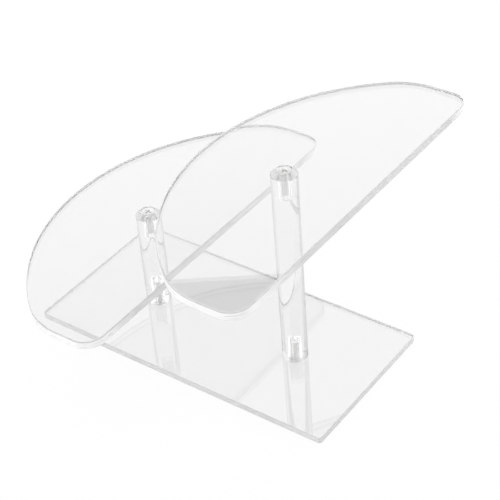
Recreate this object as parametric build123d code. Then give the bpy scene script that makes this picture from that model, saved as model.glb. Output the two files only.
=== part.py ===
from build123d import *
import math
import os

# Two-tier display stand in clear acrylic, 200 mm long and 132 mm high. A thin base plate carries a short
# post and a tall post, and each post carries a half-moon shelf on one countersunk screw.
#
# Frame: origin at the middle of the base plate's underside, +Z up, +X along the base's long side from the
# short post to the tall post, +Y from the front long edge to the back one. Millimetres.

# Base plate
base_length = 200.0
base_width = 100.0
base_thickness = 4.0
base_corner_radius = 2.0

# Posts, solid round bar
post_diameter = 15.0
post_spacing = 100.0
short_post_length = 60.0
tall_post_length = 123.0

# Shelves: a half-moon with a straight edge on the +X side and square ends, all corners rounded
shelf_length = 222.0
shelf_depth = 100.0
shelf_thickness = 5.0
shelf_end_width = 25.0
shelf_shoulder_radius = 40.0
shelf_corner_radius = 12.0
shelf_hole_inset = 50.0

# M4 x 16 countersunk screws with a cross recess
screw_length = 16.0
thread_diameter = 4.0
thread_pitch = 0.7
thread_depth = 0.35
thread_tip_chamfer = 0.5
head_diameter = 8.0
head_rim = 0.25
recess_span = 4.4
recess_foot = 1.8
recess_depth = 1.9
recess_wing = 0.9

# Clearances and edge finish
head_sink = 0.2
head_play = 0.1
shank_play = 0.1
thread_play = 0.05
tapped_spare = 3.0
drill_point_angle = 118.0
edge_break = 0.3
cut_margin = 1.0

# Heights and places that follow from the sizes above
post_foot_z = base_thickness
lower_shelf_z = post_foot_z + short_post_length
upper_shelf_z = post_foot_z + tall_post_length
short_post_x = -post_spacing / 2
tall_post_x = post_spacing / 2

# Screw and screw holes
thread_radius = thread_diameter / 2
head_radius = head_diameter / 2
head_cone = head_radius - thread_radius
shank_hole_radius = thread_radius + shank_play
tapped_radius = thread_radius + thread_play
countersink_radius = head_radius + head_play + head_sink + head_rim


def rim_edges(plate):
    """The top and bottom outline edges of a flat plate."""
    faces = plate.faces().sort_by(Axis.Z)
    return faces[0].outer_wire().edges() + faces[-1].outer_wire().edges()


def flat_plate(outline, thickness):
    """An outline extruded upwards from Z 0, with its rim edges broken."""
    plate = extrude(outline, thickness)
    return chamfer(rim_edges(plate), edge_break)


def countersunk_hole(thickness):
    """A screw's hole through a plate on Z 0 to thickness, with its 90 degree countersink at the top."""
    cone_depth = countersink_radius - shank_hole_radius
    shank_height = thickness - cone_depth
    hole = Cylinder(shank_hole_radius, shank_height + cut_margin, align=(Align.CENTER, Align.CENTER, Align.MAX))
    sink = Cone(
        shank_hole_radius,
        countersink_radius + cut_margin,
        cone_depth + cut_margin,
        align=(Align.CENTER, Align.CENTER, Align.MIN),
    )
    return Pos(0, 0, shank_height) * (hole + sink)


def turned_over(shape, thickness):
    """The same cut made from the underside of a plate on Z 0 to thickness."""
    return Pos(0, 0, thickness) * Rot(180, 0, 0) * shape


def base_plate():
    """Thin rectangular plate with a countersunk hole from below under each post."""
    plate = flat_plate(RectangleRounded(base_length, base_width, base_corner_radius), base_thickness)
    hole = turned_over(countersunk_hole(base_thickness), base_thickness)
    for post_x in (short_post_x, tall_post_x):
        plate -= Pos(post_x, 0, 0) * hole
    return plate


def tapped_hole(grip):
    """A blind hole down from Z 0, as deep as the screw's grip and some spare, with a drill point."""
    depth = grip + tapped_spare
    point = tapped_radius / math.tan(math.radians(drill_point_angle / 2))
    bore = Cylinder(tapped_radius, depth + cut_margin, align=(Align.CENTER, Align.CENTER, Align.MIN))
    tip = Cone(0, tapped_radius, point, align=(Align.CENTER, Align.CENTER, Align.MAX))
    return Pos(0, 0, -depth) * (bore + tip)


def screw_grip(plate_thickness):
    """Length of a screw that reaches past a plate into the post behind it."""
    return screw_length - (plate_thickness - head_sink)


def post(length):
    """Round bar standing on Z 0, tapped at both ends."""
    bar = Cylinder(post_diameter / 2, length, align=(Align.CENTER, Align.CENTER, Align.MIN))
    bar = chamfer(bar.edges().filter_by(GeomType.CIRCLE), edge_break)
    top_hole = Pos(0, 0, length) * tapped_hole(screw_grip(shelf_thickness))
    foot_hole = Rot(180, 0, 0) * tapped_hole(screw_grip(base_thickness))
    return bar - top_hole - foot_hole


def half_moon():
    """Shelf outline about its screw hole, drawn as tangent lines and arcs from the straight edge to the apex."""
    edge_x = shelf_hole_inset
    end_y = shelf_length / 2
    shoulder_y = end_y - shelf_shoulder_radius
    shoulder_reach = shelf_depth - shelf_end_width
    spare_reach = shoulder_reach - shelf_shoulder_radius
    arc_radius = (shoulder_reach**2 + shoulder_y**2 - shelf_shoulder_radius**2) / (2 * spare_reach)
    arc_centre = Vector(edge_x - shelf_depth + arc_radius, 0)
    shoulder_centre = Vector(edge_x - shelf_end_width, shoulder_y)

    straight_end = Vector(edge_x, end_y - shelf_corner_radius)
    corner_end = Vector(edge_x - shelf_corner_radius, end_y)
    shoulder_start = Vector(edge_x - shelf_end_width, end_y)
    shoulder_end = arc_centre + (shoulder_centre - arc_centre).normalized() * arc_radius
    apex = Vector(edge_x - shelf_depth, 0)

    half = Curve() + [
        Line((edge_x, 0), straight_end),
        TangentArc(straight_end, corner_end, tangent=(0, 1)),
        Line(corner_end, shoulder_start),
        TangentArc(shoulder_start, shoulder_end, tangent=(-1, 0)),
        TangentArc(apex, shoulder_end, tangent=(0, 1)),
    ]
    return make_face(half + mirror(half, Plane.XZ))


def shelf():
    """Half-moon shelf with its underside on Z 0 and its screw hole on the Z axis."""
    return flat_plate(half_moon(), shelf_thickness) - countersunk_hole(shelf_thickness)


def cross_recess():
    """Cross-shaped driver recess going down from Z 0, its wings tapering in towards the foot."""
    wings = Box(recess_span, recess_wing, recess_depth, align=(Align.CENTER, Align.CENTER, Align.MAX))
    wings += Rot(0, 0, 90) * wings
    taper = Cone(recess_foot / 2, recess_span / 2, recess_depth, align=(Align.CENTER, Align.CENTER, Align.MAX))
    return wings & taper


def thread_profile():
    """Half section of a screw, as radius and height, with the thread cut as evenly spaced grooves."""
    thread_top = -head_rim - head_cone
    groove_count = int((screw_length + thread_top - thread_tip_chamfer) / thread_pitch)
    points = [(0, 0), (head_radius, 0), (head_radius, -head_rim), (thread_radius, thread_top)]
    for groove in range(groove_count):
        groove_top = thread_top - groove * thread_pitch
        points.append((thread_radius - thread_depth, groove_top - thread_pitch / 2))
        points.append((thread_radius, groove_top - thread_pitch))
    points.append((thread_radius, thread_tip_chamfer - screw_length))
    points.append((thread_radius - thread_tip_chamfer, -screw_length))
    points.append((0, -screw_length))
    return points


def screw():
    """Countersunk screw pointing down, with the top of its head on Z 0."""
    outline = make_face(Plane.XZ * Polyline(*thread_profile(), close=True))
    return revolve(outline, Axis.Z) - cross_recess()


def placed_parts():
    """Every piece by its node name, in its place in the stand."""
    screw_down = screw()
    screw_up = Rot(180, 0, 0) * screw()
    shelf_screw_lift = shelf_thickness - head_sink
    return {
        "base_plate": base_plate(),
        "short_post": Pos(short_post_x, 0, post_foot_z) * post(short_post_length),
        "tall_post": Pos(tall_post_x, 0, post_foot_z) * post(tall_post_length),
        "lower_shelf": Pos(short_post_x, 0, lower_shelf_z) * shelf(),
        "upper_shelf": Pos(tall_post_x, 0, upper_shelf_z) * shelf(),
        "short_post_screw": Pos(short_post_x, 0, head_sink) * screw_up,
        "tall_post_screw": Pos(tall_post_x, 0, head_sink) * screw_up,
        "lower_shelf_screw": Pos(short_post_x, 0, lower_shelf_z + shelf_screw_lift) * screw_down,
        "upper_shelf_screw": Pos(tall_post_x, 0, upper_shelf_z + shelf_screw_lift) * screw_down,
    }


os.makedirs("parts", exist_ok=True)
for node_name, solid in placed_parts().items():
    export_step(solid, f"parts/{node_name}.step")
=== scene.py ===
"""Dressed scene of a two-tier clear acrylic display stand.

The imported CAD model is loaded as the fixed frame. Each piece is then rebuilt finely enough for
clear acrylic to bend light cleanly, given its finish, and set in a plain white studio.
"""

import logging
import math
from collections.abc import Callable, Sequence
from dataclasses import dataclass, field, replace
from enum import Enum

import bmesh
import bpy
from mathutils import Euler, Matrix, Vector

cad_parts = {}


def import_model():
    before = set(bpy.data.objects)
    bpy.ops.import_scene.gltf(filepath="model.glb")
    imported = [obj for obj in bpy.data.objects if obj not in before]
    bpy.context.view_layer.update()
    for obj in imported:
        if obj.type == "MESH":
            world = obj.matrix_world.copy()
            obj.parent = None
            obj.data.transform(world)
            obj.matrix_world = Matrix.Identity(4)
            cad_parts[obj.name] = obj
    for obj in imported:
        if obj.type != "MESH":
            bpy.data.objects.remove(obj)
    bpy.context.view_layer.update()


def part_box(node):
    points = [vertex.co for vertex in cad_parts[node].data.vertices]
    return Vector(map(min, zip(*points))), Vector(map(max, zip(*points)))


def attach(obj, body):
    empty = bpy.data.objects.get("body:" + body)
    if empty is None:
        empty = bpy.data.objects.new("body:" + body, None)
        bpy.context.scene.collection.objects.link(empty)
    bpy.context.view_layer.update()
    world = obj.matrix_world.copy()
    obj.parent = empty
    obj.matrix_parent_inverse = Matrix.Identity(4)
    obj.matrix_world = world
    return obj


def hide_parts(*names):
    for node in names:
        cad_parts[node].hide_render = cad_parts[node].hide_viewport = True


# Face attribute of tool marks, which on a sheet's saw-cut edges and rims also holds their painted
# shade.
TOOL_MARKS_AND_SHADE = "tool_marks_and_shade"

# Metres: the air left between touching clear faces, and when two points count as one.
AIR_FILM = 0.00002
SAME_PLACE = 0.000005
SAME_POINT = 0.0000001

# The upright share of a face's normal: on an end, on a level face and on a rounded rim.
UPRIGHT = 0.9
LEVEL = 0.98
SLOPING = 0.2

# Degrees: round the stand from +X to straight across it from the camera, and how far the panels
# there lean to one side.
BEHIND = 128.378
LEAN = 1.85

# Steps round a broken rim, on a sheet and on a bar.
SHEET_RIM_STEPS = 4
BAR_RIM_STEPS = 2

# Where a Mix node has its two colours and their blend.
COLOURS_IN = (6, 7)
COLOUR_OUT = 2

WHITE = (1.0, 1.0, 1.0, 1.0)
Colour = tuple[float, float, float, float]
Piece = bpy.types.Object
Socket = bpy.types.NodeSocket
log = logging.getLogger("display_stand")


class Body(Enum):
    """The frame's moving bodies."""

    STAND = "stand"
    LOWER_TIER = "lower_tier"
    UPPER_TIER = "upper_tier"


class Slot(Enum):
    """Names of the stand's material slots."""

    SHEET = "clear_sheet"
    BAR = "clear_bar"
    STEEL = "plated_steel"


class Look(Enum):
    """The stand's finishes, each with its slot and its crease."""

    SHELF = ("shelf", Slot.SHEET, 6.0)
    PLATE = ("plate", Slot.SHEET, 6.0)
    BAR = ("bar", Slot.BAR, 12.0)
    STEEL = ("steel", Slot.STEEL, 30.0)

    @property
    def slot(self) -> Slot:
        """The finish's material slot."""
        return self.value[1]

    @property
    def crease(self) -> float:
        """The sharpest angle in degrees that is shaded smooth."""
        return self.value[2]


class MarksAndShade(float, Enum):
    """How tools left a face and how much painted shade it gets, from untouched to darkest."""

    NONE = 0.0
    TAPPED = 0.1
    FACED = 0.26
    BUFFED = 0.3
    DRIVEN = 0.4
    # On a sheet these three frost the edges and rims for real, and their darker grey is painted
    # shade.
    SAWN = 0.68
    ROUGH_SAWN = 0.9
    BROKEN = 1.0


class Bench:
    """Modelling operators, always on one piece with everything else let go."""

    @staticmethod
    def let_go() -> None:
        """Leave edit mode and deselect every object."""
        if bpy.context.object is not None and bpy.context.object.mode != "OBJECT":
            bpy.ops.object.mode_set(mode="OBJECT")
        bpy.ops.object.select_all(action="DESELECT")

    @staticmethod
    def hold(piece: Piece) -> None:
        """Make one piece the only selected and active object.

        Args:
            piece: The piece to hold.
        """
        Bench.let_go()
        piece.select_set(True)
        bpy.context.view_layer.objects.active = piece

    @staticmethod
    def settle(piece: Piece) -> None:
        """Put a piece's place, turn and scale into its mesh."""
        Bench.hold(piece)
        bpy.ops.object.transform_apply(location=True, rotation=True, scale=True)

    @staticmethod
    def take_new(name: str) -> Piece:
        """Name the primitive just added and put its place into its mesh.

        Args:
            name: The new piece's name.

        Returns:
            The new piece, held on the bench.
        """
        piece = bpy.context.active_object
        piece.name = piece.data.name = name
        Bench.settle(piece)
        return piece

    @staticmethod
    def round_bar(name: str, radius: float, foot: Vector, height: float, sides: int) -> Piece:
        """Add a cylinder standing on a point.

        Args:
            name: The piece's name.
            radius: Its radius.
            foot: The middle of its bottom face.
            height: Its height.
            sides: How many sides its wall has.

        Returns:
            The cylinder.
        """
        Bench.let_go()
        bpy.ops.mesh.primitive_cylinder_add(
            vertices=sides, radius=radius, depth=height, location=foot + Vector((0, 0, height / 2))
        )
        return Bench.take_new(name)

    @staticmethod
    def edit(piece: Piece, mode: str = "FACE") -> None:
        """Open a piece in edit mode with nothing selected.

        Args:
            piece: The piece to shape.
            mode: VERT, EDGE or FACE selection.
        """
        Bench.hold(piece)
        bpy.ops.object.mode_set(mode="EDIT")
        bpy.ops.mesh.select_mode(type=mode)
        bpy.ops.mesh.select_all(action="DESELECT")

    @staticmethod
    def pick_faces(piece: Piece, wanted: Callable[[Vector, Vector], bool]) -> None:
        """Select the open piece's faces that pass a test.

        Args:
            piece: The piece in edit mode.
            wanted: The test of a face's middle and normal.
        """
        mesh = bmesh.from_edit_mesh(piece.data)
        mesh.normal_update()
        for face in mesh.faces:
            face.select_set(wanted(face.calc_center_median(), face.normal))
        mesh.select_flush_mode()
        bmesh.update_edit_mesh(piece.data)

    @staticmethod
    def pick_edges(piece: Piece, wanted: Callable[[Vector, Vector], bool]) -> None:
        """Select the open piece's edges that pass a test.

        Args:
            piece: The piece in edit mode.
            wanted: The test of an edge's two ends.
        """
        mesh = bmesh.from_edit_mesh(piece.data)
        for edge in mesh.edges:
            edge.select_set(wanted(edge.verts[0].co, edge.verts[1].co))
        mesh.select_flush_mode()
        bmesh.update_edit_mesh(piece.data)

    @staticmethod
    def pull(rise: float, spread: float = 1.0) -> None:
        """Extrude the selected faces along the Z axis and scale their rim about it.

        Args:
            rise: How far up the faces move.
            spread: The scale of the new rim in X and Y.
        """
        bpy.ops.mesh.extrude_region_move(TRANSFORM_OT_translate={"value": (0, 0, rise)})
        bpy.ops.transform.resize(value=(spread, spread, 1), center_override=(0, 0, 0))

    @staticmethod
    def close_up(piece: Piece) -> None:
        """Merge doubled points, turn every face outwards and leave edit mode.

        Args:
            piece: The piece in edit mode.
        """
        bpy.ops.mesh.select_all(action="SELECT")
        bpy.ops.mesh.remove_doubles(threshold=SAME_PLACE)
        bpy.ops.mesh.normals_make_consistent(inside=False)
        Bench.hold(piece)

    @staticmethod
    def combine(piece: Piece, tool: Piece, how: str) -> None:
        """Cut or join a piece with a tool, which is used up.

        Args:
            piece: The piece to change.
            tool: The other solid.
            how: DIFFERENCE or UNION.
        """
        Bench.hold(piece)
        change = piece.modifiers.new("Combine", "BOOLEAN")
        change.operation = how
        change.solver = "EXACT"
        change.object = tool
        bpy.ops.object.modifier_apply(modifier=change.name)
        bpy.data.objects.remove(tool, do_unlink=True)

    @staticmethod
    def copy_of(piece: Piece, name: str) -> Piece:
        """Copy a piece with a mesh of its own.

        Args:
            piece: The piece to copy.
            name: The copy's name.

        Returns:
            The copy.
        """
        Bench.hold(piece)
        bpy.ops.object.duplicate(linked=False)
        twin = bpy.context.active_object
        twin.name = twin.data.name = name
        return twin

    @staticmethod
    def smooth(piece: Piece, crease: float) -> None:
        """Shade a piece smooth except across edges sharper than an angle in degrees."""
        Bench.hold(piece)
        bpy.ops.object.shade_smooth_by_angle(angle=math.radians(crease))


class OutlinePen:
    """Draws a flat outline by pulling and spinning its last point."""

    def __init__(self, name: str, start: Vector) -> None:
        """Put the pen down.

        Args:
            name: The name of the piece that the outline becomes.
            start: The outline's first point.
        """
        Bench.let_go()
        bpy.ops.mesh.primitive_plane_add(size=AIR_FILM, location=start)
        self.piece = Bench.take_new(name)
        self.tip = start.copy()
        Bench.edit(self.piece, "VERT")
        bpy.ops.mesh.select_all(action="SELECT")
        bpy.ops.mesh.merge(type="CENTER")

    def line(self, end: Vector) -> None:
        """Draw a straight line to a point."""
        bpy.ops.mesh.extrude_vertices_move(TRANSFORM_OT_translate={"value": end - self.tip})
        self.tip = end.copy()

    def arc(self, centre: Vector, degrees: float, steps: int) -> None:
        """Draw an arc, turning to the left by an angle.

        Args:
            centre: The arc's centre.
            degrees: How far it turns.
            steps: How many straight steps it has.
        """
        turn = math.radians(degrees)
        bpy.ops.mesh.spin(steps=steps, angle=-turn, center=centre, axis=(0, 0, 1))
        self.tip = centre + Matrix.Rotation(turn, 3, "Z") @ (self.tip - centre)

    def sheet(self, thickness: float) -> Piece:
        """Close the outline and raise it into a sheet.

        Args:
            thickness: The sheet's thickness.

        Returns:
            The sheet, with its underside where the outline was.
        """
        bpy.ops.mesh.select_all(action="SELECT")
        bpy.ops.mesh.remove_doubles(threshold=SAME_PLACE)
        bpy.ops.mesh.edge_face_add()
        bpy.ops.mesh.extrude_region_move(TRANSFORM_OT_translate={"value": (0, 0, thickness)})
        Bench.close_up(self.piece)
        return self.piece


def grey(tone: float) -> Colour:
    """A neutral grey as a colour."""
    return (tone, tone, tone, 1.0)


@dataclass(frozen=True)
class Speckle:
    """Soft spots of noise, so many to a metre, with the noise values that give 0 and 1."""

    scale: float
    detail: float
    low: float
    high: float
    stretch: tuple[float, float, float] = (1.0, 1.0, 1.0)
    roughness: float = 0.6


class NodeDesk:
    """A node tree that is built node by node."""

    def __init__(self, tree: bpy.types.NodeTree) -> None:
        """Clear the tree.

        Args:
            tree: The tree of a material or of the world.
        """
        self.tree = tree
        self.tree.nodes.clear()

    def node(self, kind: str, **settings: object) -> bpy.types.Node:
        """Add a node and set its properties.

        Args:
            kind: The node's type.
            **settings: Its properties by name.

        Returns:
            The new node.
        """
        made = self.tree.nodes.new(kind)
        for key, value in settings.items():
            setattr(made, key, value)
        return made

    def feed(self, node: bpy.types.Node, **values: object) -> bpy.types.Node:
        """Set or link a node's inputs by name, with underscores for spaces.

        Args:
            node: The node to feed.
            **values: A socket to link, or a plain value to set, for each input.

        Returns:
            The same node.
        """
        for key, value in values.items():
            socket = node.inputs[key.replace("_", " ")]
            if isinstance(value, Socket):
                self.tree.links.new(value, socket)
            else:
                socket.default_value = value
        return node

    def remap(self, number: Socket, **limits: object) -> Socket:
        """Map a number between ranges, each from 0 to 1 unless a limit is given."""
        return self.feed(self.node("ShaderNodeMapRange"), Value=number, **limits).outputs[0]

    def blend(self, low: float, high: float, share: Socket) -> Socket:
        """A number that goes from low to high with a pattern."""
        return self.remap(share, To_Min=low, To_Max=high)

    def work_out(self, operation: str, first: Socket, second: Socket) -> Socket:
        """Make one number of two.

        Args:
            operation: What to do with them, such as MAXIMUM.
            first: The first number.
            second: The second number.

        Returns:
            The socket with the result.
        """
        worked = self.node("ShaderNodeMath", operation=operation)
        self.tree.links.new(first, worked.inputs[0])
        self.tree.links.new(second, worked.inputs[1])
        return worked.outputs[0]

    def shown(self, path: bpy.types.Node) -> Socket:
        """Tell what the camera sees from what only lights the stand.

        Args:
            path: The tree's light path node.

        Returns:
            1 for what is seen straight, through the acrylic or mirrored, and 0 for light.
        """
        straight = path.outputs["Is Camera Ray"]
        seen = self.work_out("MAXIMUM", straight, path.outputs["Is Transmission Ray"])
        return self.work_out("MAXIMUM", seen, path.outputs["Is Glossy Ray"])

    def mix_shaders(
        self, share: Socket, first: bpy.types.Node, second: bpy.types.Node
    ) -> bpy.types.Node:
        """Blend two shaders.

        Args:
            share: How far towards the second.
            first: The shader at 0.
            second: The shader at 1.

        Returns:
            The node with the blend.
        """
        mixed = self.node("ShaderNodeMixShader")
        for place, socket in enumerate((share, first.outputs[0], second.outputs[0])):
            self.tree.links.new(socket, mixed.inputs[place])
        return mixed


class Recipe(NodeDesk):
    """A material's node tree, on the piece's own coordinates."""

    def __init__(self, name: str) -> None:
        """Start an empty material.

        Args:
            name: The material's name.
        """
        self.material = bpy.data.materials.new(name)
        self.material.use_nodes = True
        super().__init__(self.material.node_tree)
        self.out = self.node("ShaderNodeOutputMaterial")
        self.place = self.node("ShaderNodeTexCoord").outputs["Object"]

    def speckle(self, pattern: Speckle) -> Socket:
        """Lay a pattern of noise on the piece.

        Args:
            pattern: The pattern's spots.

        Returns:
            The socket with the pattern from 0 to 1.
        """
        mapping = self.feed(
            self.node("ShaderNodeMapping"), Vector=self.place, Scale=pattern.stretch
        )
        noise = self.feed(
            self.node("ShaderNodeTexNoise"),
            Vector=mapping.outputs[0],
            Scale=pattern.scale,
            Detail=pattern.detail,
            Roughness=pattern.roughness,
        )
        return self.remap(noise.outputs[0], From_Min=pattern.low, From_Max=pattern.high)

    def mix(self, first: Colour | Socket, second: Colour | Socket, share: Socket) -> Socket:
        """Blend two colours.

        Args:
            first: The colour at 0, plain or from a socket.
            second: The colour at 1, plain or from a socket.
            share: How far towards the second colour.

        Returns:
            The socket with the blend.
        """
        mixed = self.feed(self.node("ShaderNodeMix", data_type="RGBA"), Factor=share)
        for place, colour in zip(COLOURS_IN, (first, second), strict=True):
            if isinstance(colour, Socket):
                self.tree.links.new(colour, mixed.inputs[place])
            else:
                mixed.inputs[place].default_value = colour
        return mixed.outputs[COLOUR_OUT]

    def tool_marks_and_shade(self) -> Socket:
        """The tool marks and painted shade kept on the mesh."""
        return self.node("ShaderNodeAttribute", attribute_name=TOOL_MARKS_AND_SHADE).outputs["Fac"]

    def facing(self) -> Socket:
        """How far a face turns away, from 0 straight on to 1 edge on."""
        return self.feed(self.node("ShaderNodeLayerWeight"), Blend=0.5).outputs["Facing"]

    def finish(self, shader: bpy.types.Node) -> bpy.types.Material:
        """Put the shader on the surface and hand over the material."""
        self.tree.links.new(shader.outputs[0], self.out.inputs["Surface"])
        return self.material


@dataclass(frozen=True)
class ClearAcrylic:
    """Clear acrylic, glossy as cast or drawn and matt where saw, buff or tap has been.

    A matt face lets more through from inside than from outside. Tool marks fainter than buffing are
    raised to a power, which thins them out as seen from the front. The grey of saw-cut edges and
    rims is painted shade, and so is the bar's darker tint seen edge on.
    """

    name: str
    tint: Colour
    # Tint seen edge on; only on the bar is it darker, as painted shade for the rod's outline.
    edge_on_painted_shade: Colour
    matt_light: Colour
    # Grey that saw-cut edges and rims darken to: painted shade.
    matt_painted_shade: Colour
    grain: Speckle
    grain_relief: float
    patches: Speckle = Speckle(45, 3, 0.35, 0.65)
    patchiness: float = 0.06
    smudges: Speckle = Speckle(40, 4, 0.5, 0.85)
    edge_on_shade_from: float = 0.45
    edge_on_shade_to: float = 0.95
    clear_outside: float = 0.2
    clear_inside: float = 0.65
    thin_from_front: float = 3.0
    thin_from_side: float = 0.3
    matt_haze: tuple[float, float] = (0.256, 0.32)
    gloss_haze: tuple[float, float] = (0.0, 0.02)
    ior: float = 1.49
    depth_tone: Colour = grey(0.5)
    absorption: float = 0.6

    def matt_share(self, recipe: Recipe) -> tuple[Socket, Socket]:
        """Read the tool marks and painted shade kept on the mesh.

        Args:
            recipe: The material being built.

        Returns:
            How matt the face is, and how much painted shade it gets, both from 0 to 1.
        """
        marks = recipe.tool_marks_and_shade()
        matt = recipe.remap(marks, From_Max=MarksAndShade.BUFFED.value)
        thinning = recipe.blend(self.thin_from_front, self.thin_from_side, recipe.facing())
        thinned = recipe.work_out("POWER", matt, thinning)
        return thinned, recipe.remap(marks, From_Min=MarksAndShade.BUFFED.value)

    def colours(self, recipe: Recipe, matt: Socket, dark: Socket) -> Socket:
        """Blend the clear tint, darkened edge on as painted shade, with the tool marks' grey and
        painted shade.

        Args:
            recipe: The material being built.
            matt: How matt the face is.
            dark: How much painted shade the face gets.

        Returns:
            The socket with the colour.
        """
        # Painted shade: the tint darkens towards the edge-on view, drawing a dark outline.
        edge_on_shade = recipe.remap(
            recipe.facing(), From_Min=self.edge_on_shade_from, From_Max=self.edge_on_shade_to
        )
        clear = recipe.mix(self.tint, self.edge_on_painted_shade, edge_on_shade)
        patchy = recipe.blend(-self.patchiness, self.patchiness, recipe.speckle(self.patches))
        # Painted shade: the matt grey darkens with the marks' shade, on top of random patches.
        patches_and_shade = recipe.work_out("ADD", patchy, dark)
        marked_and_shaded = recipe.mix(self.matt_light, self.matt_painted_shade, patches_and_shade)
        return recipe.mix(clear, marked_and_shaded, matt)

    def material(self) -> bpy.types.Material:
        """Build the material.

        Returns:
            The finished material.
        """
        recipe = Recipe(self.name)
        matt, dark = self.matt_share(recipe)
        grain = recipe.speckle(self.grain)
        glossy = recipe.blend(*self.gloss_haze, recipe.speckle(self.smudges))
        frosted = recipe.blend(*self.matt_haze, grain)
        inside = recipe.node("ShaderNodeNewGeometry").outputs["Backfacing"]
        see_through = recipe.blend(self.clear_outside, self.clear_inside, inside)
        bump = recipe.feed(
            recipe.node("ShaderNodeBump"), Height=grain, Distance=self.grain_relief, Strength=matt
        )
        shader = recipe.feed(
            recipe.node("ShaderNodeBsdfPrincipled"),
            Base_Color=self.colours(recipe, matt, dark),
            Roughness=recipe.remap(matt, To_Min=glossy, To_Max=frosted),
            IOR=self.ior,
            Transmission_Weight=recipe.remap(matt, To_Min=1.0, To_Max=see_through),
            Normal=bump.outputs[0],
        )
        depth = recipe.node("ShaderNodeVolumeAbsorption")
        recipe.feed(depth, Color=self.depth_tone, Density=self.absorption)
        recipe.tree.links.new(depth.outputs[0], recipe.out.inputs["Volume"])
        return recipe.finish(shader)


@dataclass(frozen=True)
class PlatedSteelFinish:
    """Nickel-plated steel: a near-white thread, which is painted light, and a head dulled by
    handling and greyed with painted shade.
    """

    name: str = "nickel_plated_steel"
    # Near-white thread: painted light for the thread seen down its bore through the acrylic.
    bright_painted_light: Colour = (0.97, 0.97, 0.965, 1.0)
    stained: Colour = (0.93, 0.93, 0.925, 1.0)
    # Grey of the rubbed head and driven recess: wear, and painted shade over their reflections.
    satin: Colour = (0.64, 0.64, 0.635, 1.0)
    stains: Speckle = Speckle(500, 4, 0.35, 0.7)
    grain: Speckle = Speckle(4000, 2, 0.3, 0.7)
    grain_relief: float = 0.000001
    thread_haze: tuple[float, float] = (0.12, 0.24)
    head_haze: tuple[float, float] = (0.44, 0.55)

    def material(self) -> bpy.types.Material:
        """Build the material.

        Returns:
            The finished material.
        """
        recipe = Recipe(self.name)
        marks = recipe.tool_marks_and_shade()
        stain = recipe.speckle(self.stains)
        grain = recipe.speckle(self.grain)
        bump = recipe.feed(
            recipe.node("ShaderNodeBump"), Height=grain, Distance=self.grain_relief, Strength=1.0
        )
        plain = recipe.mix(self.bright_painted_light, self.stained, stain)
        haze = recipe.remap(
            marks,
            To_Min=recipe.blend(*self.thread_haze, grain),
            To_Max=recipe.blend(*self.head_haze, stain),
        )
        # Painted light and shade: the thread near-white, the head and recess greyer and duller.
        shader = recipe.feed(
            recipe.node("ShaderNodeBsdfPrincipled"),
            Base_Color=recipe.mix(plain, self.satin, marks),
            Metallic=1.0,
            Roughness=haze,
            Normal=bump.outputs[0],
        )
        return recipe.finish(shader)


# Its darkest matt grey is the painted shade of saw-cut edges and rims.
SHELF_SHEET = ClearAcrylic(
    name="clear_shelf_sheet",
    tint=grey(0.86),
    edge_on_painted_shade=grey(0.86),
    matt_light=grey(0.97),
    matt_painted_shade=grey(0.58),
    grain=Speckle(900, 2, 0.3, 0.7, (0.05, 0.05, 1.0)),
    grain_relief=0.00001,
)
# The base plate's lit and shaded copy of the sheet: its lighter clear tint is painted light against
# the shadow under it, and its darker matt greys are painted shade on edges that lie on the floor.
PLATE_SHEET_LIT_AND_SHADED = replace(
    SHELF_SHEET,
    name="clear_plate_sheet_lit_and_shaded",
    tint=grey(0.9),
    edge_on_painted_shade=grey(0.9),
    matt_light=grey(0.94),
    matt_painted_shade=grey(0.56),
)
# The bar's tint turns grey edge on: painted shade for the dark outline of a clear rod.
ROUND_BAR = replace(
    SHELF_SHEET,
    name="clear_round_bar",
    tint=grey(0.97),
    edge_on_painted_shade=grey(0.3),
    grain=Speckle(260, 2, 0.3, 0.7, (1.0, 1.0, 0.03)),
    grain_relief=0.000004,
)


@dataclass
class Finishes:
    """The stand's materials, each made once."""

    by_look: dict[Look, bpy.types.Material] = field(default_factory=dict)

    def mix_all(self) -> None:
        """Build every material."""
        self.by_look = {
            Look.SHELF: SHELF_SHEET.material(),
            Look.PLATE: PLATE_SHEET_LIT_AND_SHADED.material(),
            Look.BAR: ROUND_BAR.material(),
            Look.STEEL: PlatedSteelFinish().material(),
        }

    def dress(self, piece: Piece, node: str, body: Body, look: Look) -> None:
        """Give a finished piece its material and its place in the frame.

        Args:
            piece: The finished piece.
            node: The CAD node that it stands for.
            body: The body that it rides on.
            look: Its finish.
        """
        Bench.smooth(piece, look.crease)
        piece.data.materials.clear()
        piece.data.materials.append(self.by_look[look])
        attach(piece, body.value)
        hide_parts(node)
        off = 0.0
        for axis, (low, high) in enumerate(zip(*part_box(node), strict=True)):
            places = [vertex.co[axis] for vertex in piece.data.vertices]
            off = max(off, abs(min(places) - low), abs(max(places) - high))
        faces = len(piece.data.polygons)
        log.info("%s: %d faces, within %.3f mm of its node's box", piece.name, faces, off * 1000)


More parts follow.
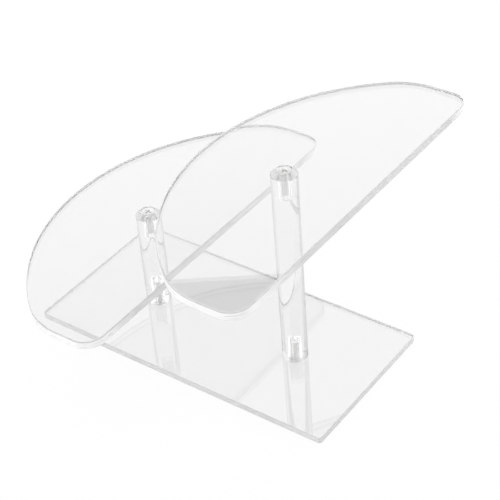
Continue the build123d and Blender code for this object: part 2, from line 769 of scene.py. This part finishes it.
@dataclass
class ThreadTool:
    """A right-hand metric thread as a solid rod, drawn as one pitch and turned into a helix.

    The ends of its root and of its crest are shares of the pitch.
    """

    pitch: float = 0.0007
    depth: float = 0.00035
    root_end: float = 0.15
    crest_start: float = 0.5
    crest_end: float = 0.65
    spare_turns: int = 3
    steps: int = 40

    def rod(self, name: str, radius: float, top: float, bottom: float) -> Piece:
        """Build a threaded rod on the Z axis.

        Args:
            name: The rod's name.
            radius: The radius over its crests.
            top: The height of its top end.
            bottom: The height of its bottom end.

        Returns:
            The rod, closed at both ends.
        """
        turns = math.ceil((top - bottom) / self.pitch) + self.spare_turns
        start = -math.ceil(-bottom / self.pitch) * self.pitch - 2 * self.pitch
        root = radius - self.depth
        pen = OutlinePen(name, Vector((root, 0, start)))
        for reach, share in (
            (root, self.root_end),
            (radius, self.crest_start),
            (radius, self.crest_end),
            (root, 1.0),
        ):
            pen.line(Vector((reach, 0, start + share * self.pitch)))
        Bench.hold(pen.piece)
        helix = pen.piece.modifiers.new("Helix", "SCREW")
        helix.axis = "Z"
        helix.angle = math.tau
        helix.screw_offset = self.pitch
        helix.iterations = turns
        helix.steps = helix.render_steps = self.steps
        helix.use_merge_vertices = True
        helix.merge_threshold = SAME_PLACE
        bpy.ops.object.modifier_apply(modifier=helix.name)
        Bench.edit(pen.piece)
        for cut_z, way in ((top, 1), (bottom, -1)):
            bpy.ops.mesh.select_all(action="SELECT")
            bpy.ops.mesh.bisect(
                plane_co=(0, 0, cut_z),
                plane_no=(0, 0, way),
                use_fill=True,
                clear_outer=True,
                threshold=SAME_POINT,
            )
        Bench.close_up(pen.piece)
        return pen.piece


@dataclass
class CountersunkScrew:
    """M4 x 16 countersunk screw with a cross recess, pointing down from Z 0."""

    length: float = 0.016
    thread_radius: float = 0.002
    head_radius: float = 0.004
    head_rim: float = 0.00025
    recess_span: float = 0.0044
    recess_foot: float = 0.0018
    recess_depth: float = 0.0019
    recess_wing: float = 0.0009
    recess_wing_taper: float = 0.8
    rim_rounding: float = 0.00008
    neck_share: float = 0.6
    sides: int = 72
    thread: ThreadTool = field(default_factory=ThreadTool)

    def head(self) -> Piece:
        """Build the head: a thin rim, a 90 degree cone and a stub that reaches into the thread.

        Returns:
            The head, with its top on Z 0.
        """
        foot = Vector((0, 0, -self.head_rim))
        rim = Bench.round_bar("screw_pattern", self.head_radius, foot, self.head_rim, self.sides)
        cone = self.head_radius - self.thread_radius + self.thread.depth
        Bench.edit(rim)
        Bench.pick_faces(rim, lambda middle, normal: normal.z < -UPRIGHT)
        Bench.pull(-cone, 1 - cone / self.head_radius)
        Bench.pull(-self.thread.pitch)
        Bench.edit(rim, "EDGE")
        Bench.pick_edges(rim, lambda a, b: a.z > -SAME_PLACE and b.z > -SAME_PLACE)
        bpy.ops.mesh.bevel(offset=self.rim_rounding, segments=BAR_RIM_STEPS, affect="EDGES")
        Bench.close_up(rim)
        return rim

    def recess(self) -> Piece:
        """Build the driver's recess as a solid cross with wings that taper in towards the foot.

        Returns:
            The cross, standing a little out of the head's top.
        """
        taper = self.recess_foot / self.recess_span
        wings = []
        for name, turn in (("recess_along", 0), ("recess_across", 90)):
            Bench.let_go()
            bpy.ops.mesh.primitive_cube_add(size=1, location=(0, 0, -self.recess_depth / 2))
            size = (self.recess_span, self.recess_wing, self.recess_depth)
            bpy.context.active_object.scale = size
            wing = Bench.take_new(name)
            Bench.edit(wing)
            Bench.pick_faces(wing, lambda middle, normal: normal.z < -UPRIGHT)
            narrow = (taper, self.recess_wing_taper, 1)
            bpy.ops.transform.resize(value=narrow, center_override=(0, 0, 0))
            Bench.pick_faces(wing, lambda middle, normal: normal.z > UPRIGHT)
            Bench.pull(self.head_rim)
            Bench.close_up(wing)
            wing.rotation_euler = Euler((0, 0, math.radians(turn)))
            Bench.settle(wing)
            wings.append(wing)
        Bench.combine(wings[0], wings[1], "UNION")
        return wings[0]

    def pattern(self) -> Piece:
        """Build the screw that every other one is copied from.

        Returns:
            The screw, with the top of its head on Z 0.
        """
        screw = self.head()
        neck = -self.head_rim - (self.head_radius - self.thread_radius) * self.neck_share
        shank = self.thread.rod("screw_shank", self.thread_radius, neck, -self.length)
        Bench.combine(screw, shank, "UNION")
        Bench.combine(screw, self.recess(), "DIFFERENCE")
        keep_marks_and_shade(screw, self.marks)
        return screw

    def marks(self, middle: Vector, normal: Vector) -> MarksAndShade:
        """Read a face's wear and painted shade: the head's top is rubbed dull, and drivers have
        scored its recess; both are greyed with painted shade.

        Args:
            middle: The face's middle.
            normal: The face's normal, not used.

        Returns:
            The face's marks.
        """
        if middle.z > -self.head_rim / 2:
            return MarksAndShade.BROKEN
        shallow = middle.z > -self.recess_depth - SAME_PLACE
        in_recess = shallow and middle.to_2d().length < self.recess_span / 2
        return MarksAndShade.DRIVEN if in_recess else MarksAndShade.NONE


@dataclass
class Post:
    """Solid clear bar with a tapped hole in each end and its rims just broken."""

    node: str
    middle_x: float
    foot_z: float
    length: float
    radius: float = 0.0075
    edge_break: float = 0.0003
    tapped_radius: float = 0.00205
    tapped_spare: float = 0.003
    point_half_angle: float = 59.0
    point_tip: float = 0.02
    bore_reach: float = 1.02
    sides: int = 160
    thread: ThreadTool = field(default_factory=ThreadTool)

    def tap(self, grip: float, sink: float) -> Piece:
        """Build the cutter for a tapped hole that a screw pointing down from Z 0 fills.

        Args:
            grip: How far the screw reaches into the post.
            sink: How far below the screw's head the post starts.

        Returns:
            The cutter, a threaded rod with a drill point.
        """
        bottom = -sink - grip - self.tapped_spare
        cutter = self.thread.rod("tap", self.tapped_radius, -sink + self.thread.pitch, bottom)
        Bench.edit(cutter)
        low = bottom + SAME_PLACE
        Bench.pick_faces(cutter, lambda middle, normal: normal.z < -UPRIGHT and middle.z < low)
        point = self.tapped_radius / math.tan(math.radians(self.point_half_angle))
        Bench.pull(-point, self.point_tip)
        Bench.close_up(cutter)
        return cutter

    def build(self, shelf_sink: float, base_sink: float, screw_length: float) -> Piece:
        """Build the post in its place.

        Args:
            shelf_sink: How far below the shelf screw's head top the post starts.
            base_sink: The same for the base screw, from below.
            screw_length: The screws' length.

        Returns:
            The post.
        """
        foot = Vector((self.middle_x, 0, self.foot_z + AIR_FILM))
        height = self.length - 2 * AIR_FILM
        bar = Bench.round_bar(self.node + "_bar", self.radius, foot, height, self.sides)
        Bench.edit(bar, "EDGE")
        Bench.pick_edges(bar, lambda a, b: abs(a.z - b.z) < SAME_PLACE)
        bpy.ops.mesh.bevel(offset=self.edge_break, segments=BAR_RIM_STEPS, affect="EDGES")
        Bench.close_up(bar)
        for top, sink in ((True, shelf_sink), (False, base_sink)):
            cutter = self.tap(screw_length - sink, sink)
            end_z = self.foot_z + self.length + sink if top else self.foot_z - sink
            cutter.rotation_euler = Euler((0 if top else math.pi, 0, 0))
            cutter.location = (self.middle_x, 0, end_z)
            Bench.settle(cutter)
            Bench.combine(bar, cutter, "DIFFERENCE")
        keep_marks_and_shade(bar, self.marks)
        return bar

    def marks(self, middle: Vector, normal: Vector) -> MarksAndShade:
        """Read a face's tool marks: the foot is faced, the holes are tapped, the rest is clean.

        Args:
            middle: The face's middle.
            normal: The face's normal.

        Returns:
            The face's marks.
        """
        if normal.z < -LEVEL and middle.z < self.foot_z + self.edge_break:
            return MarksAndShade.FACED
        off_axis = (middle - Vector((self.middle_x, 0, middle.z))).length
        return MarksAndShade.TAPPED if off_axis < self.tapped_radius * self.bore_reach else MarksAndShade.NONE


@dataclass
class CountersunkHole:
    """Screw hole through a sheet, with a 90 degree countersink on one side."""

    shank_radius: float = 0.0021
    sink_radius: float = 0.00455
    margin: float = 0.001
    sides: int = 128

    @property
    def reach(self) -> float:
        """The radius within which a face belongs to the hole."""
        return 2 * self.sink_radius

    def cutter(self, middle: Vector, thickness: float, from_below: bool) -> Piece:
        """Build the hole's cutter.

        Args:
            middle: The hole's middle on the sheet's underside.
            thickness: The sheet's thickness.
            from_below: True if the countersink is in the underside.

        Returns:
            The cutter in its place.
        """
        cone = self.sink_radius - self.shank_radius
        shank = thickness - cone
        foot, height = Vector((0, 0, -self.margin)), shank + self.margin
        tool = Bench.round_bar("countersink", self.shank_radius, foot, height, self.sides)
        Bench.edit(tool)
        Bench.pick_faces(tool, lambda at, normal: normal.z > UPRIGHT)
        reach = cone + self.margin
        Bench.pull(reach, 1 + reach / self.shank_radius)
        Bench.close_up(tool)
        tool.rotation_euler = Euler((math.pi if from_below else 0, 0, 0))
        tool.location = middle + Vector((0, 0, thickness if from_below else 0))
        Bench.settle(tool)
        return tool


def keep_marks_and_shade(piece: Piece, read: Callable[[Vector, Vector], float]) -> None:
    """Keep on the mesh which tool left each face of a finished piece, and its painted shade.

    Args:
        piece: The finished piece of acrylic.
        read: Gives a face's marks and painted shade from its middle and its normal.
    """
    marks = piece.data.attributes.new(TOOL_MARKS_AND_SHADE, "FLOAT", "FACE")
    for face, mark in zip(piece.data.polygons, marks.data, strict=True):
        mark.value = read(face.center, face.normal)


def sheet_marks_and_shade(
    middle: Vector, normal: Vector, side: float, holes: Sequence[Vector], reach: float
) -> float:
    """Tool marks and painted shade on a sheet: its two faces and its holes are clean, and its rims
    are broken and painted darkest.

    Args:
        middle: The face's middle.
        normal: The face's normal.
        side: The marks and painted shade on the sheet's upright edges.
        holes: The middles of its screw holes.
        reach: The radius within which a face belongs to a hole.

    Returns:
        The face's marks.
    """
    if abs(normal.z) > LEVEL or any((middle - hole).to_2d().length < reach for hole in holes):
        return MarksAndShade.NONE
    return MarksAndShade.BROKEN if abs(normal.z) > SLOPING else side


def break_rims(sheet: Piece, thickness: float, amount: float) -> None:
    """Round the top and bottom rims of a flat sheet a little.

    Args:
        sheet: The sheet.
        thickness: Its thickness.
        amount: How wide the rounding is.
    """
    low = min(vertex.co.z for vertex in sheet.data.vertices)

    def on_rim(a: Vector, b: Vector) -> bool:
        """Both ends lie on the sheet's underside, or both on its top."""
        return any(max(abs(a.z - z), abs(b.z - z)) < SAME_PLACE for z in (low, low + thickness))

    Bench.edit(sheet, "EDGE")
    Bench.pick_edges(sheet, on_rim)
    bpy.ops.mesh.bevel(offset=amount, segments=SHEET_RIM_STEPS, affect="EDGES")
    Bench.close_up(sheet)


@dataclass
class BasePlate:
    """Thin clear plate that both posts are screwed to from below."""

    length: float = 0.200
    width: float = 0.100
    thickness: float = 0.004
    corner_radius: float = 0.002
    edge_break: float = 0.0003
    post_places: tuple[float, float] = (-0.050, 0.050)
    corner_steps: int = 8
    hole: CountersunkHole = field(default_factory=CountersunkHole)

    def build(self) -> Piece:
        """Build the plate in its place.

        Returns:
            The plate.
        """
        x, y, r = self.length / 2, self.width / 2, self.corner_radius
        pen = OutlinePen("clear_base_plate", Vector((-x + r, -y, 0)))
        for end, side_x, side_y in (
            ((x - r, -y, 0), 1, -1),
            ((x, y - r, 0), 1, 1),
            ((-x + r, y, 0), -1, 1),
            ((-x, -y + r, 0), -1, -1),
        ):
            pen.line(Vector(end))
            pen.arc(Vector((side_x * (x - r), side_y * (y - r), 0)), 90, self.corner_steps)
        plate = pen.sheet(self.thickness)
        break_rims(plate, self.thickness, self.edge_break)
        holes = [Vector((post_x, 0, 0)) for post_x in self.post_places]
        for hole in holes:
            cutter = self.hole.cutter(hole, self.thickness, from_below=True)
            Bench.combine(plate, cutter, "DIFFERENCE")
        # Its upright edges are saw-cut and take their painted shade.
        keep_marks_and_shade(
            plate,
            lambda middle, normal: sheet_marks_and_shade(middle, normal, MarksAndShade.SAWN, holes, self.hole.reach),
        )
        return plate


@dataclass
class HalfMoonShelf:
    """Half-moon shelf with a straight edge, square ends and rounded shoulders, on one screw.

    The buffing of its curved edge, lighter for having no painted shade, fades out along the
    straight one into that edge's painted shade, over a run from the front corner and a run from the
    back one.
    """

    node: str
    middle_x: float
    under_z: float
    # The straight edge's marks and painted shade, and the runs over which the lighter buffed grey
    # fades into them.
    straight_edge: MarksAndShade = MarksAndShade.SAWN
    buffed_to_shaded_runs: tuple[float, float] = (0.030, 0.014)
    length: float = 0.222
    depth: float = 0.100
    thickness: float = 0.005
    end_width: float = 0.025
    shoulder_radius: float = 0.040
    corner_radius: float = 0.012
    hole_inset: float = 0.050
    edge_break: float = 0.0008
    arc_steps: int = 120
    shoulder_steps: int = 48
    corner_steps: int = 32
    straight_steps: int = 99
    hole: CountersunkHole = field(default_factory=CountersunkHole)

    def build(self) -> Piece:
        """Build the shelf in its place.

        Returns:
            The shelf.
        """
        edge_x = self.middle_x + self.hole_inset
        end_y, r = self.length / 2, self.corner_radius
        shoulder = Vector((edge_x - self.end_width, end_y - self.shoulder_radius, self.under_z))
        reach = self.depth - self.end_width
        spare = reach - self.shoulder_radius
        arc_radius = (reach**2 + shoulder.y**2 - self.shoulder_radius**2) / (2 * spare)
        arc_centre = Vector((edge_x - self.depth + arc_radius, 0, self.under_z))
        lean = math.degrees(math.atan2(shoulder.y, arc_centre.x - shoulder.x))
        mirror = Vector((1, -1, 1))
        half = end_y - r
        pen = OutlinePen("clear_" + self.node, Vector((edge_x, -half, self.under_z)))
        for step in range(1, self.straight_steps + 1):
            pen.line(Vector((edge_x, half * (2 * step / self.straight_steps - 1), self.under_z)))
        pen.arc(Vector((edge_x - r, half, self.under_z)), 90, self.corner_steps)
        pen.line(Vector((shoulder.x, end_y, self.under_z)))
        pen.arc(shoulder, 90 - lean, self.shoulder_steps)
        pen.arc(arc_centre, 2 * lean, self.arc_steps)
        pen.arc(shoulder * mirror, 90 - lean, self.shoulder_steps)
        pen.line(Vector((edge_x - r, -end_y, self.under_z)))
        pen.arc(Vector((edge_x - r, -half, self.under_z)), 90, self.corner_steps)
        shelf = pen.sheet(self.thickness)
        break_rims(shelf, self.thickness, self.edge_break)
        hole = Vector((self.middle_x, 0, self.under_z))
        cutter = self.hole.cutter(hole, self.thickness, from_below=False)
        Bench.combine(shelf, cutter, "DIFFERENCE")

        def read(middle: Vector, normal: Vector) -> float:
            """Read a face's tool marks and painted shade.

            Args:
                middle: The face's middle.
                normal: The face's normal.

            Returns:
                The face's marks and painted shade.
            """
            # Painted shade: the straight edge darkens from the buffed grey at each end to its own
            # grey.
            front, back = self.buffed_to_shaded_runs
            run = min((middle.y + half) / front, (half - middle.y) / back) if normal.x > 0 else 0
            sawn_and_shaded = min(1.0, max(0.0, run))
            side = MarksAndShade.BUFFED + (self.straight_edge - MarksAndShade.BUFFED) * sawn_and_shaded
            return sheet_marks_and_shade(middle, normal, side, [hole], self.hole.reach)

        keep_marks_and_shade(shelf, read)
        return shelf


@dataclass
class DisplayStand:
    """The whole stand: base plate, two posts, two shelves and four screws."""

    finishes: Finishes
    short_x: float = -0.050
    tall_x: float = 0.050
    short_length: float = 0.060
    tall_length: float = 0.123
    head_sink: float = 0.0002
    # Runs over which the upper shelf's buffed grey fades into its straight edge's painted shade.
    upper_buffed_to_shaded_runs: tuple[float, float] = (0.045, 0.014)
    base: BasePlate = field(default_factory=BasePlate)
    screw: CountersunkScrew = field(default_factory=CountersunkScrew)

    def build_sheets(self) -> None:
        """Build and dress the base plate and the two shelves."""
        foot = self.base.thickness
        self.finishes.dress(self.base.build(), "base_plate", Body.STAND, Look.PLATE)
        lower = HalfMoonShelf("lower_shelf", self.short_x, foot + self.short_length)
        # The upper shelf's straight edge takes the darkest upright-edge grey, which is painted
        # shade.
        upper = HalfMoonShelf(
            "upper_shelf",
            self.tall_x,
            foot + self.tall_length,
            straight_edge=MarksAndShade.ROUGH_SAWN,
            buffed_to_shaded_runs=self.upper_buffed_to_shaded_runs,
        )
        self.finishes.dress(lower.build(), "lower_shelf", Body.LOWER_TIER, Look.SHELF)
        self.finishes.dress(upper.build(), "upper_shelf", Body.UPPER_TIER, Look.SHELF)

    def build_posts(self) -> None:
        """Build and dress the two posts."""
        foot = self.base.thickness
        shelf_sink = HalfMoonShelf.thickness - self.head_sink
        base_sink = self.base.thickness - self.head_sink
        for node, x, length in (
            ("short_post", self.short_x, self.short_length),
            ("tall_post", self.tall_x, self.tall_length),
        ):
            bar = Post(node, x, foot, length).build(shelf_sink, base_sink, self.screw.length)
            self.finishes.dress(bar, node, Body.STAND, Look.BAR)

    def build_screws(self) -> None:
        """Copy the screw into its four places and dress each copy."""
        foot = self.base.thickness
        shelf_top = HalfMoonShelf.thickness - self.head_sink
        pattern = self.screw.pattern()
        for node, x, z, upwards in (
            ("short_post_screw", self.short_x, self.head_sink, True),
            ("tall_post_screw", self.tall_x, self.head_sink, True),
            ("lower_shelf_screw", self.short_x, foot + self.short_length + shelf_top, False),
            ("upper_shelf_screw", self.tall_x, foot + self.tall_length + shelf_top, False),
        ):
            screw = Bench.copy_of(pattern, "plated_" + node)
            screw.rotation_euler = Euler((math.pi if upwards else 0, 0, 0))
            screw.location = (x, 0, z)
            Bench.settle(screw)
            self.finishes.dress(screw, node, Body.STAND, Look.STEEL)
        bpy.data.objects.remove(pattern, do_unlink=True)


@dataclass
class Camera:
    """A studio camera with a long lens, slightly tilted on its tripod."""

    place: tuple[float, float, float] = (0.427928, -0.511124, 0.563056)
    azimuth: float = -51.622
    elevation: float = 37.158
    roll: float = -4.72
    lens: float = 105.74
    sensor: float = 36.0
    nearest: float = 0.01
    farthest: float = 50.0

    def set_up(self) -> None:
        """Add the camera and make it the scene's own."""
        azimuth, elevation = math.radians(self.azimuth), math.radians(self.elevation)
        roll = math.radians(self.roll)
        across = math.cos(elevation)
        ahead = -Vector(
            (across * math.cos(azimuth), across * math.sin(azimuth), math.sin(elevation))
        )
        level = ahead.cross(Vector((0, 0, 1))).normalized()
        upward = level.cross(ahead)
        right = math.cos(roll) * level + math.sin(roll) * upward
        up = -math.sin(roll) * level + math.cos(roll) * upward
        Bench.let_go()
        bpy.ops.object.camera_add(location=self.place)
        camera = bpy.context.active_object
        turn = Matrix((right, up, -ahead)).transposed().to_4x4()
        camera.matrix_world = Matrix.Translation(Vector(self.place)) @ turn
        camera.data.lens = self.lens
        camera.data.sensor_width = self.sensor
        camera.data.clip_start, camera.data.clip_end = self.nearest, self.farthest
        bpy.context.scene.camera = camera


@dataclass(frozen=True)
class Panel:
    """An upright panel, lit or dark, that the camera sees only in the acrylic and the steel."""

    name: str
    azimuth: float
    distance: float
    width: float
    bottom: float
    top: float
    light: float
    lean: float = 0.0
    lights_stand: bool = True

    def hang(self) -> None:
        """Hang the panel upright, facing the stand."""
        turn = math.radians(self.azimuth)
        away = Vector((math.cos(turn), math.sin(turn), 0))
        Bench.let_go()
        bpy.ops.mesh.primitive_plane_add(size=1)
        panel = bpy.context.active_object
        panel.scale = (self.width, self.top - self.bottom, 1)
        facing = Matrix.Rotation(turn - math.pi / 2, 4, "Z")
        upright = facing @ Matrix.Rotation(math.pi / 2, 4, "X")
        leaning = upright @ Matrix.Rotation(math.radians(self.lean), 4, "Z")
        panel.rotation_euler = leaning.to_euler()
        panel.location = away * self.distance + Vector((0, 0, (self.top + self.bottom) / 2))
        panel = Bench.take_new(self.name)
        recipe = Recipe("lit_" + self.name)
        glow = recipe.node("ShaderNodeEmission")
        recipe.feed(glow, Color=WHITE, Strength=self.light)
        panel.data.materials.append(recipe.finish(glow))
        panel.visible_camera = False
        panel.visible_diffuse = self.lights_stand


@dataclass(frozen=True)
class Lamp:
    """A square soft lamp that faces the stand's foot."""

    name: str
    place: tuple[float, float, float]
    size: float
    power: float

    def hang(self) -> None:
        """Hang the lamp, out of the camera's sight."""
        Bench.let_go()
        bpy.ops.object.light_add(type="AREA", location=self.place)
        lamp = bpy.context.active_object
        lamp.name = self.name
        lamp.rotation_euler = Vector(self.place).to_track_quat("Z", "Y").to_euler()
        lamp.data.shape = "SQUARE"
        lamp.data.size = self.size
        lamp.data.energy = self.power
        lamp.visible_camera = False


@dataclass
class Studio:
    """White floor and room, lit panels, a dark card behind the stand, and soft lamps."""

    floor_size: float = 12.0
    floor_z: float = -0.0002
    floor_tone: float = 0.86
    floor_glow: float = 0.93
    mirrored_floor: float = 0.94
    room_light: float = 0.8
    horizon_tone: float = 0.78
    horizon_top: float = 0.15
    white_from: float = 0.45
    light_bounces: int = 32
    panels: tuple[Panel, ...] = (
        Panel("back_panel", BEHIND, 0.50, 1.6, -0.20, 0.616, light=1.8, lean=LEAN),
        Panel("dark_card", BEHIND, 0.52, 1.6, 0.45, 0.85, light=0.0, lean=LEAN, lights_stand=False),
        Panel("side_panel", 42.0, 0.60, 0.7, 0.08, 0.68, light=1.9),
    )
    lamps: tuple[Lamp, ...] = (
        Lamp("lamp_above", (0.1, -0.1, 1.6), size=1.6, power=5.0),
        Lamp("lamp_in_front", (-0.35, -0.95, 0.45), size=0.6, power=2.4),
    )

    def lay_floor(self) -> None:
        """Lay a pale floor that keeps a soft shadow of the stand."""
        Bench.let_go()
        bpy.ops.mesh.primitive_plane_add(size=self.floor_size, location=(0, 0, self.floor_z))
        floor = Bench.take_new("studio_floor")
        recipe = Recipe("white_floor")
        path = recipe.node("ShaderNodeLightPath")
        matt = recipe.feed(recipe.node("ShaderNodeBsdfDiffuse"), Color=grey(self.floor_tone))
        strength = recipe.blend(self.mirrored_floor, 1.0, path.outputs["Is Camera Ray"])
        white = recipe.node("ShaderNodeEmission")
        recipe.feed(white, Color=WHITE, Strength=strength)
        share = recipe.blend(0.0, self.floor_glow, recipe.shown(path))
        floor.data.materials.append(recipe.finish(recipe.mix_shaders(share, matt, white)))

    def light_room(self) -> None:
        """Make the room white to the camera and a soft grey light to everything else.

        What the acrylic bends and mirrors of it is a little grey near the horizon.
        """
        world = bpy.data.worlds.new("studio_room")
        world.use_nodes = True
        desk = NodeDesk(world.node_tree)
        path = desk.node("ShaderNodeLightPath")
        way = desk.node("ShaderNodeTexCoord").outputs["Generated"]
        height = desk.feed(desk.node("ShaderNodeSeparateXYZ"), Vector=way).outputs["Z"]
        tone = desk.remap(
            height, From_Min=self.horizon_top, From_Max=self.white_from, To_Min=self.horizon_tone
        )
        strength = desk.work_out("MAXIMUM", tone, path.outputs["Is Camera Ray"])
        white = desk.node("ShaderNodeBackground")
        desk.feed(white, Color=WHITE, Strength=strength)
        room = desk.node("ShaderNodeBackground")
        desk.feed(room, Color=WHITE, Strength=self.room_light)
        mixed = desk.mix_shaders(desk.shown(path), room, white)
        out = desk.node("ShaderNodeOutputWorld")
        desk.tree.links.new(mixed.outputs[0], out.inputs["Surface"])
        bpy.context.scene.world = world

    def set_up(self) -> None:
        """Build the whole studio."""
        scene = bpy.context.scene
        scene.view_settings.view_transform = "Standard"
        scene.cycles.max_bounces = self.light_bounces
        scene.cycles.transmission_bounces = self.light_bounces
        scene.cycles.glossy_bounces = self.light_bounces
        self.lay_floor()
        for panel in self.panels:
            panel.hang()
        self.light_room()
        for lamp in self.lamps:
            lamp.hang()


def main() -> None:
    """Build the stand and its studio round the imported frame."""
    logging.basicConfig(level=logging.INFO, format="%(name)s: %(message)s")
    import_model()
    Camera().set_up()
    finishes = Finishes()
    finishes.mix_all()
    stand = DisplayStand(finishes)
    stand.build_sheets()
    stand.build_posts()
    stand.build_screws()
    Studio().set_up()


if __name__ == "__main__":
    main()
